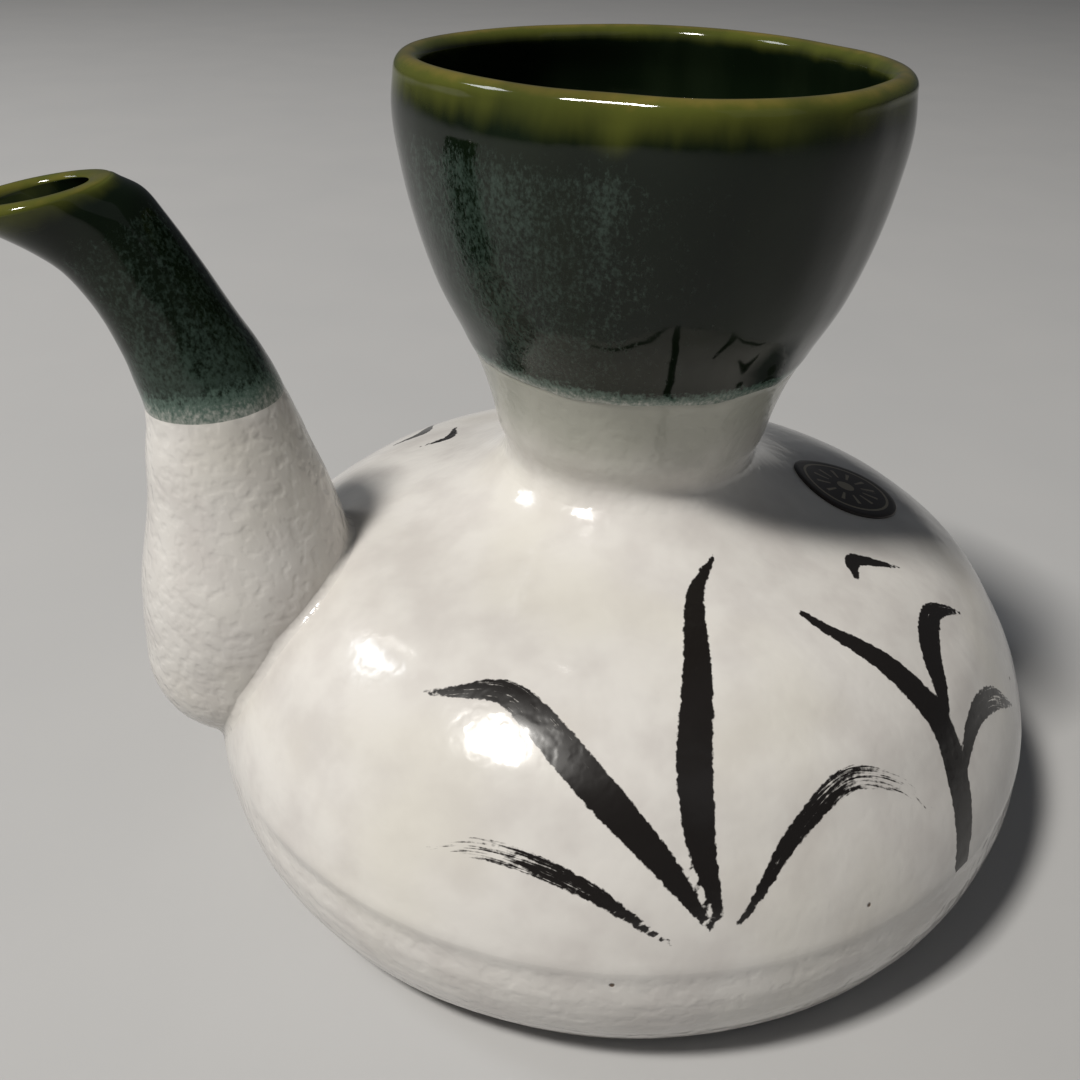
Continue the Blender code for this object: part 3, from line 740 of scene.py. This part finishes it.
def paint_cup_glaze(made, grid, outer_rows, inner_rows):
    """Says how far each point is from the lip, how frosted it is, and how it fades at the edge."""
    z = grid[..., 2]
    degrees = np.degrees(np.arctan2(grid[..., 1], grid[..., 0]))
    crest = RIM_HEIGHT - z
    left = bump_at(degrees_apart(degrees, -150), 0, 48)
    front_crease = degrees_apart(degrees, CREASES[0][0])
    runs = 1.8 * bump_at(front_crease, 0, 4)
    inside = np.zeros(z.shape)
    inside[outer_rows + LIP_ROWS // 2 + 1:outer_rows + LIP_ROWS + inner_rows] = 1
    paint(made, "from_lip", np.maximum(crest - runs, crest * 0.5) * (1 + 1.2 * inside))
    streak = bump_at(front_crease, 0, 5) * (1 - smoothstep(12, 36, crest))
    frost = (0.05 + 0.42 * left + 0.15 * streak) * smoothstep(4, 12, crest)
    paint(made, "frost", frost * (1 - inside))
    from_edge = z - CUP_GLAZE_LINE
    paint(made, "fade", 1.1 * (1 - smoothstep(-0.6, 5.0, from_edge)) * (1 - inside))


def spout_skin(rows, strength):
    """Spout rows with the glaze's relief, whose pebbling has this strength."""
    height = relief(rows, np.broadcast_to(strength, rows.shape[:2]))
    return rows + grid_normals(rows) * height[..., None]


def build_spout(look):
    last = len(SPOUT) - 1
    root = spout_root_rows(0.0, ROOT_ROWS)
    bare = np.concatenate([root, spout_rows(ROOT_RUN, last, 0.0)])
    above_root = np.linspace(ROOT_RUN, last, len(bare) - len(root))
    section = np.concatenate([np.full(len(root), ROOT_RUN), above_root])
    depth = COVER * smoothstep(SPOUT_GLAZE_AT - 0.1, SPOUT_GLAZE_AT + 0.5, section)
    outer = spout_skin(bare, 1.5) - grid_normals(bare) * depth[:, None, None]
    lip = spout_lip(COVER, COVER, SPOUT_WALL - COVER, SPOUT_COVERED_LIP_ROWS)
    inner = np.concatenate([spout_rows(last, SPOUT_GLAZE_INSIDE, SPOUT_WALL - COVER),
                            spout_rows(SPOUT_GLAZE_INSIDE - 0.2, ROOT_RUN, SPOUT_WALL),
                            spout_root_rows(SPOUT_WALL, INNER_ROOT_ROWS)[::-1]])
    return piece("spout", np.concatenate([outer, lip, inner]), look)


def build_spout_glaze(look):
    last = len(SPOUT) - 1
    start = SPOUT_GLAZE_AT - SPOUT_GLAZE_TUCK
    smooth = spout_rows(start, last, 0.0)
    section = np.linspace(start, last, len(smooth))
    lift = -0.3 + 0.3 * smoothstep(start, start + 0.5, section)
    lift = lift + 0.05 * smoothstep(start, last, section)
    pebble = 1.3 * (1 - 0.8 * smoothstep(5.5, 8, section))
    outer = spout_skin(smooth, pebble[:, None])
    outer = outer + grid_normals(smooth) * lift[:, None, None]
    lip = spout_lip(0.0, 0.0, SPOUT_WALL, SPOUT_LIP_ROWS)
    inner = spout_rows(last, SPOUT_GLAZE_INSIDE, SPOUT_WALL)
    hidden = spout_rows(SPOUT_GLAZE_INSIDE, last, SPOUT_WALL - GLAZE)
    under_lip = spout_lip(GLAZE, GLAZE, SPOUT_WALL - GLAZE, SPOUT_UNDER_LIP_ROWS)[::-1]
    hidden_out = spout_rows(last, start, GLAZE)
    grid = np.concatenate([outer, lip, inner, hidden, under_lip, hidden_out])
    made = piece("spout_glaze", grid, look)
    run = np.linalg.norm(np.diff(outer.mean(1), axis=0), axis=1)
    to_lip = np.concatenate((np.cumsum(run[::-1])[::-1], [0]))
    lip_end = len(outer) + len(lip)
    from_lip, frost, fade = np.zeros((3, *grid.shape[:2]))
    from_lip[:len(outer)] = to_lip[:, None] + 1.0
    from_lip[len(outer):lip_end] = 0.6
    from_tip = np.hypot(grid[lip_end:, :, 0] + SPOUT_TIP[0], grid[lip_end:, :, 2] - SPOUT_TIP[1])
    from_lip[lip_end:] = 3 + 0.6 * from_tip
    from_edge = section - SPOUT_GLAZE_AT
    near_edge = 0.36 + 0.26 * (1 - smoothstep(0, 2.8, from_edge))
    frost[:len(outer)] = (near_edge * smoothstep(5, 12, to_lip))[:, None]
    fade[:len(outer)] = (1.2 * (1 - smoothstep(-0.3, 1.5, from_edge)))[:, None]
    paint(made, "from_lip", from_lip)
    paint(made, "frost", frost)
    paint(made, "fade", fade)
    return made


def build_spout_slip(look):
    """A soft fillet of slip in the corner between the spout and the dome."""
    angle = spout_angles(FILLET_POINTS)
    start = spout_point(spout_root(angle, 0.0, FILLET), angle, FILLET_SUNK)
    corner = spout_point(spout_root(angle, 0.0, 0.0), angle, 0.0)
    end = spout_point(spout_root(angle, -FILLET, -FILLET_SUNK), angle, -FILLET)
    buried = spout_point(spout_root(angle, FILLET_BURIED, -FILLET_BURIED), angle, FILLET_BURIED)
    pull = 0.8 * corner + 0.1 * (start + end)
    rows = []
    for t in np.linspace(0, 1, FILLET_ROWS):
        rows.append((1 - t) ** 2 * start + 2 * t * (1 - t) * pull + t * t * end)
    rows.append(buried)
    return piece("spout_slip", np.array(rows), look)


def build_label(look):
    azimuth = math.radians(LABEL_DIRECTION)

    def surface(angle, z):
        return pot_point(np.array([angle]), np.array([z]))[0]

    centre = surface(azimuth, LABEL_HEIGHT)
    down = surface(azimuth, LABEL_HEIGHT - 1) - surface(azimuth, LABEL_HEIGHT + 1)
    side = surface(azimuth + 0.02, LABEL_HEIGHT) - surface(azimuth - 0.02, LABEL_HEIGHT)
    down, side = down / np.linalg.norm(down), side / np.linalg.norm(side)
    normal = np.cross(down, side)
    normal *= np.sign(normal[2])
    radii = np.array(LABEL_RINGS) * LABEL_RADIUS
    radius, turn = np.meshgrid(radii, round_angles(LABEL_POINTS), indexing="ij")
    outward = np.cos(turn)[..., None] * down + np.sin(turn)[..., None] * side
    flat = centre + radius[..., None] * outward
    low, high = np.full(radius.shape, -LABEL_RADIUS), np.full(radius.shape, LABEL_RADIUS)
    for _ in range(HALVINGS):
        middle = (low + high) / 2
        buried = outside(flat + middle[..., None] * normal) < 0
        low, high = np.where(buried, middle, low), np.where(buried, high, middle)
    on_pot = flat + high[..., None] * normal
    rounded = LABEL_EDGE_DROP * (radius / LABEL_RADIUS > LABEL_EDGE_FROM)
    top = on_pot + normal * (LABEL_LIFT + LABEL_THICKNESS - rounded)[..., None]
    grid = np.concatenate([on_pot - LABEL_SUNK * normal, top[::-1]])
    made = piece("label", grid, look, closed=False)
    paint(made, "from_middle", np.concatenate([radius, radius[::-1]]))
    paint(made, "turn", np.concatenate([turn, turn[::-1]]))
    return made


def build_bottle():
    body = white_glaze("white_glaze_body", 0.12, brushed=True)
    plain = white_glaze("white_glaze_plain", 0.12)
    build_foot(white_glaze("white_glaze_foot", 0.4, bare_foot=True))
    wall_piece("base_slip", BASE_JOINT - SLIP / 2, BASE_JOINT + SLIP / 2, plain, SLIP_ROW)
    build_dome(body)
    wall_piece("neck_slip", NECK_JOINT - SLIP / 2, NECK_JOINT + SLIP / 2, plain, SLIP_ROW)
    build_cup(white_glaze("white_glaze_neck", 0.3, flashed_and_shaded=True))
    pebbled = white_glaze("white_glaze_spout", 0.7)
    build_spout(pebbled)
    build_spout_slip(pebbled)
    build_cup_glaze(green_glaze("green_glaze_cup"))
    build_spout_glaze(green_glaze("green_glaze_spout"))
    build_label(label_look())


def build_floor():
    """A plain pale floor that the bottle stands on."""
    look = Look("pale_floor")
    shade = look.mix(look.noise(60.0, 3.0), FLOOR_GREY, FLOOR_PALE)
    material = look.finish(shade, 0.85, look.bump(look.noise(1.5, 3.0), 0.05, 0.2))
    mesh = bpy.data.meshes.new("floor")
    half = 3.0
    corners = [(-half, -half, 0), (half, -half, 0), (half, half, 0), (-half, half, 0)]
    mesh.from_pydata(corners, [], [(0, 1, 2, 3)])
    floor = bpy.data.objects.new("floor", mesh)
    mesh.materials.append(material)
    bpy.context.scene.collection.objects.link(floor)


def area_light(name, direction, elevation, distance, size, watts, colour):
    """A square lamp at a direction and elevation in degrees, aimed at the middle of the bottle."""
    lamp = bpy.data.lights.new(name, "AREA")
    lamp.size = size
    lamp.energy = watts
    lamp.color = colour
    made = bpy.data.objects.new(name, lamp)
    turn, rise = math.radians(direction), math.radians(elevation)
    aim = Vector((0, 0, 0.06))
    way = Vector((math.cos(rise) * math.cos(turn), math.cos(rise) * math.sin(turn), math.sin(rise)))
    made.location = aim + way * distance
    made.rotation_euler = way.to_track_quat("Z", "Y").to_euler()
    bpy.context.scene.collection.objects.link(made)


def build_lights():
    area_light("key", -155, 57, 2.4, 0.34, 57, WARM_LIGHT)
    area_light("window", 152, 40, 1.6, 0.30, 3.6, COOL_LIGHT)
    area_light("fill", -60, 40, 1.5, 1.0, 0.5, COOL_LIGHT)
    world = bpy.data.worlds.new("studio")
    world.use_nodes = True
    background = world.node_tree.nodes["Background"]
    background.inputs["Color"].default_value = (*SKY, 1)
    background.inputs["Strength"].default_value = 0.065
    bpy.context.scene.world = world
    bpy.context.scene.view_settings.view_transform = "Standard"


def build_camera():
    """Looks down on the bottle from its front left, close enough that the spout's tip is cut off."""
    pitch, roll = math.radians(CAMERA_PITCH), math.radians(CAMERA_ROLL)
    forward = Vector((0, math.cos(pitch), -math.sin(pitch)))
    level, right = Vector((0, math.sin(pitch), math.cos(pitch))), Vector((1, 0, 0))
    up = level * math.cos(roll) + right * math.sin(roll)
    right = right * math.cos(roll) - level * math.sin(roll)
    turn = Matrix.Rotation(math.radians(CAMERA_YAW), 3, "Z")
    camera = bpy.data.objects.new("camera", bpy.data.cameras.new("camera"))
    basis = Matrix([turn @ right, turn @ up, turn @ -forward]).transposed()
    camera.matrix_world = Matrix.Translation(Vector(CAMERA_PLACE) * MM) @ basis.to_4x4()
    camera.data.sensor_width = SENSOR
    camera.data.lens = LENS
    camera.data.clip_start = 0.005
    bpy.context.scene.collection.objects.link(camera)
    bpy.context.scene.camera = camera


build_camera()
build_bottle()
build_floor()
build_lights()
